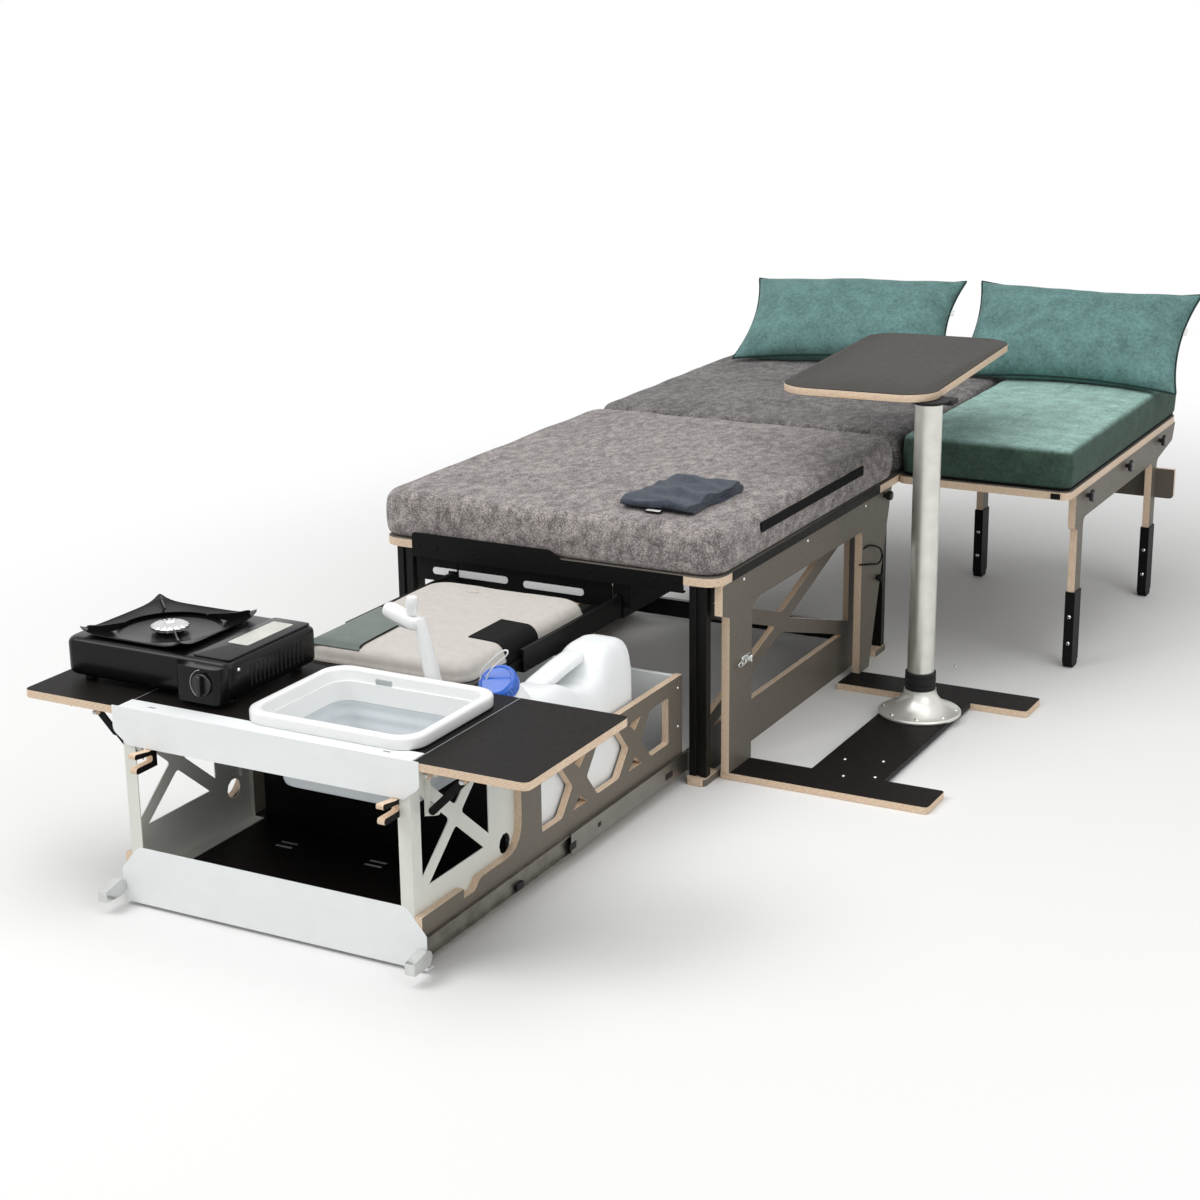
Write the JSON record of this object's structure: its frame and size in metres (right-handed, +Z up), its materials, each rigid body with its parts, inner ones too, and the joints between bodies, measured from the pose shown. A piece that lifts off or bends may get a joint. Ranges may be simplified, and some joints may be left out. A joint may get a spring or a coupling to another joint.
{
  "type": "van camping box",
  "caption": "Van bed box with mattresses, a pull-out kitchen drawer with basin and stove, an upper pull-out tray, folding worktop wings, a side bed on legs and a swivel pedestal table.",
  "frame": {"origin": "middle of the footprint, on the floor", "axes": "+X across the bed towards the side bed, +Y from the kitchen to the pillows, +Z up"},
  "size_m": [1.4436, 3.0566, 0.7893],
  "materials": {
    "grey_faced_plywood": "grey laminate faces, birch edges",
    "black_film_plywood": "black phenolic film, birch edges",
    "black_aluminium": "black anodised",
    "black_steel": "black powder coat",
    "white_steel": "white powder coat",
    "zinc_steel": "zinc plated",
    "silver_aluminium": "satin",
    "grey_velour": "marled velour",
    "green_velvet": "velvet",
    "navy_cotton": "terry",
    "beige_canvas": "coated canvas",
    "white_plastic": "gloss",
    "milky_plastic": "milky polyethylene",
    "blue_plastic": "gloss",
    "black_enamel": "black enamel",
    "black_plastic": "satin"
  },
  "bodies": {
    "box": {"post_front_left": "black_aluminium", "post_front_right": "black_aluminium", "rear_frame": "black_aluminium", "side_panel_left": "grey_faced_plywood", "side_panel_right": "grey_faced_plywood", "front_fascia": "black_steel", "deck_front": "grey_faced_plywood", "deck_rear": "grey_faced_plywood", "side_frame": "grey_faced_plywood", "side_deck": "grey_faced_plywood", "side_frame_outer": "grey_faced_plywood", "rear_brace": "grey_faced_plywood", "leg_centre_rear": "grey_faced_plywood", "leg_left_rear": "grey_faced_plywood", "mattress_front": "grey_velour", "mattress_rear": "grey_velour", "side_cushion": "green_velvet", "pillow_left": "green_velvet", "pillow_right": "green_velvet", "towel": "navy_cotton", "table_base": "black_film_plywood", "pedestal_cone": "silver_aluminium", "slide_outer_left": "zinc_steel", "slide_outer_right": "zinc_steel", "upper_track": "black_steel"},
    "kitchen": {"kitchen_skirt": "white_steel", "kitchen_rail": "white_steel", "kitchen_side_left": "white_steel", "kitchen_side_right": "white_steel", "kitchen_floor": "black_film_plywood", "worktop": "black_film_plywood", "drawer_side_left": "grey_faced_plywood", "drawer_side_right": "grey_faced_plywood", "drawer_back": "white_steel"},
    "slide_middle_left": {"slide_middle_left": "zinc_steel"},
    "slide_middle_right": {"slide_middle_right": "zinc_steel"},
    "upper_carriage": {"upper_carriage": "black_steel"},
    "upper_tray": {"upper_tray": "black_steel", "canvas_bag": "beige_canvas"},
    "wing_left": {"wing_left": "black_film_plywood"},
    "wing_right": {"wing_right": "black_film_plywood"},
    "wing_link_upper_left": {"wing_link_upper_left": "black_steel"},
    "wing_link_upper_right": {"wing_link_upper_right": "black_steel"},
    "wing_link_lower_left": {"wing_link_lower_left": "black_steel"},
    "wing_link_lower_right": {"wing_link_lower_right": "black_steel"},
    "lever_left": {"lever_left": "zinc_steel"},
    "lever_right": {"lever_right": "zinc_steel"},
    "basin": {"basin": "white_plastic"},
    "faucet": {"faucet": "white_plastic"},
    "stove": {"stove_body": "black_enamel"},
    "stove_knob": {"stove_knob": "black_plastic"},
    "pan_support": {"pan_support": "black_enamel"},
    "canister": {"canister": "milky_plastic"},
    "canister_cap": {"canister_cap": "blue_plastic"},
    "table_column": {"table_tube": "silver_aluminium"},
    "tabletop": {"tabletop": "grey_faced_plywood"},
    "sleeve_front_right": {"sleeve_front_right": "black_steel"},
    "sleeve_rear_right": {"sleeve_rear_right": "black_steel"},
    "sleeve_centre_rear": {"sleeve_centre_rear": "black_steel"},
    "sleeve_left_rear": {"sleeve_left_rear": "black_steel"}
  },
  "joints": [
    {"name": "kitchen_slide", "type": "slide", "parent": "box", "child": "kitchen", "axis": [0, 1, 0], "range_m": [0, 0.63]},
    {"name": "slide_middle_left_travel", "type": "slide", "parent": "box", "child": "slide_middle_left", "axis": [0, 1, 0], "range_m": [0, 0.315]},
    {"name": "slide_middle_right_travel", "type": "slide", "parent": "box", "child": "slide_middle_right", "axis": [0, 1, 0], "range_m": [0, 0.315]},
    {"name": "upper_carriage_travel", "type": "slide", "parent": "box", "child": "upper_carriage", "axis": [0, 1, 0], "range_m": [0, 0.63]},
    {"name": "upper_tray_slide", "type": "slide", "parent": "upper_carriage", "child": "upper_tray", "axis": [0, 1, 0], "range_m": [0, 0.25]},
    {"name": "wing_right_fold", "type": "hinge", "parent": "kitchen", "child": "wing_right", "pos_m": [0.13485, -1.4347, 0.354], "axis": [0, 1, 0], "range_deg": [0, 90]},
    {"name": "wing_left_fold", "type": "hinge", "parent": "kitchen", "child": "wing_left", "pos_m": [-0.50915, -1.4347, 0.354], "axis": [0, -1, 0], "range_deg": [0, 90]},
    {"name": "wing_link_lower_right_turn", "type": "hinge", "parent": "kitchen", "child": "wing_link_lower_right", "pos_m": [0.13485, -1.4347, 0.284], "axis": [0, 1, 0], "range_deg": [0, 135]},
    {"name": "wing_link_lower_left_turn", "type": "hinge", "parent": "kitchen", "child": "wing_link_lower_left", "pos_m": [-0.50915, -1.4347, 0.284], "axis": [0, -1, 0], "range_deg": [0, 135]},
    {"name": "wing_link_upper_right_turn", "type": "hinge", "parent": "wing_right", "child": "wing_link_upper_right", "pos_m": [0.20485, -1.4347, 0.354], "axis": [0, 1, 0], "range_deg": [-135, 0]},
    {"name": "wing_link_upper_left_turn", "type": "hinge", "parent": "wing_left", "child": "wing_link_upper_left", "pos_m": [-0.57915, -1.4347, 0.354], "axis": [0, -1, 0], "range_deg": [-135, 0]},
    {"name": "lever_right_lift", "type": "hinge", "parent": "kitchen", "child": "lever_right", "pos_m": [0.14435, -1.4863, 0.039], "axis": [-1, 0, 0], "range_deg": [0, 18], "stiffness_Nm_per_rad": 0.2, "springref_deg": -17.19},
    {"name": "lever_left_lift", "type": "hinge", "parent": "kitchen", "child": "lever_left", "pos_m": [-0.51865, -1.4863, 0.039], "axis": [-1, 0, 0], "range_deg": [0, 18], "stiffness_Nm_per_rad": 0.2, "springref_deg": -17.19},
    {"name": "basin_lift", "type": "slide", "parent": "kitchen", "child": "basin", "axis": [0, 0, 1], "range_m": [0, 0.16]},
    {"name": "faucet_swivel", "type": "hinge", "parent": "kitchen", "child": "faucet", "pos_m": [-0.05515, -1.1217, 0.39], "axis": [0, 0, -1], "range_deg": [-90, 0]},
    {"name": "stove_lift", "type": "slide", "parent": "kitchen", "child": "stove", "axis": [0, 0, 1], "range_m": [0, 0.15]},
    {"name": "stove_knob_turn", "type": "hinge", "parent": "stove", "child": "stove_knob", "pos_m": [-0.34845, -1.4147, 0.434], "axis": [0, 1, 0], "range_deg": [0, 120]},
    {"name": "pan_support_lift", "type": "slide", "parent": "stove", "child": "pan_support", "axis": [0, 0, 1], "range_m": [0, 0.06]},
    {"name": "canister_lift", "type": "slide", "parent": "kitchen", "child": "canister", "axis": [0, 0, -1], "range_m": [-0.3, 0]},
    {"name": "canister_cap_turn", "type": "hinge", "parent": "canister", "child": "canister_cap", "pos_m": [0.05385, -1.0307, 0.346], "axis": [0, -0.6157, 0.788], "continuous": true},
    {"name": "table_column_lift", "type": "slide", "parent": "box", "child": "table_column", "axis": [0, 0, 1], "range_m": [0, 0.06]},
    {"name": "tabletop_swivel", "type": "hinge", "parent": "table_column", "child": "tabletop", "pos_m": [0.43985, 0.1263, 0.7], "axis": [0, 0, 1], "continuous": true},
    {"name": "sleeve_front_right_adjust", "type": "slide", "parent": "box", "child": "sleeve_front_right", "axis": [0, 0, 1], "range_m": [-0.1, 0]},
    {"name": "sleeve_rear_right_adjust", "type": "slide", "parent": "box", "child": "sleeve_rear_right", "axis": [0, 0, 1], "range_m": [-0.1, 0]},
    {"name": "sleeve_centre_rear_adjust", "type": "slide", "parent": "box", "child": "sleeve_centre_rear", "axis": [0, 0, 1], "range_m": [-0.1, 0]},
    {"name": "sleeve_left_rear_adjust", "type": "slide", "parent": "box", "child": "sleeve_left_rear", "axis": [0, 0, 1], "range_m": [-0.1, 0]}
  ],
  "couplings": [
    {"joint": "slide_middle_left_travel", "follows": "kitchen_slide", "ratio": 0.5},
    {"joint": "slide_middle_right_travel", "follows": "kitchen_slide", "ratio": 0.5},
    {"joint": "upper_carriage_travel", "follows": "kitchen_slide", "ratio": 1},
    {"joint": "wing_link_lower_right_turn", "follows": "wing_right_fold", "ratio": 1.5},
    {"joint": "wing_link_lower_left_turn", "follows": "wing_left_fold", "ratio": 1.5},
    {"joint": "wing_link_upper_right_turn", "follows": "wing_right_fold", "ratio": -1.5},
    {"joint": "wing_link_upper_left_turn", "follows": "wing_left_fold", "ratio": -1.5}
  ]
}
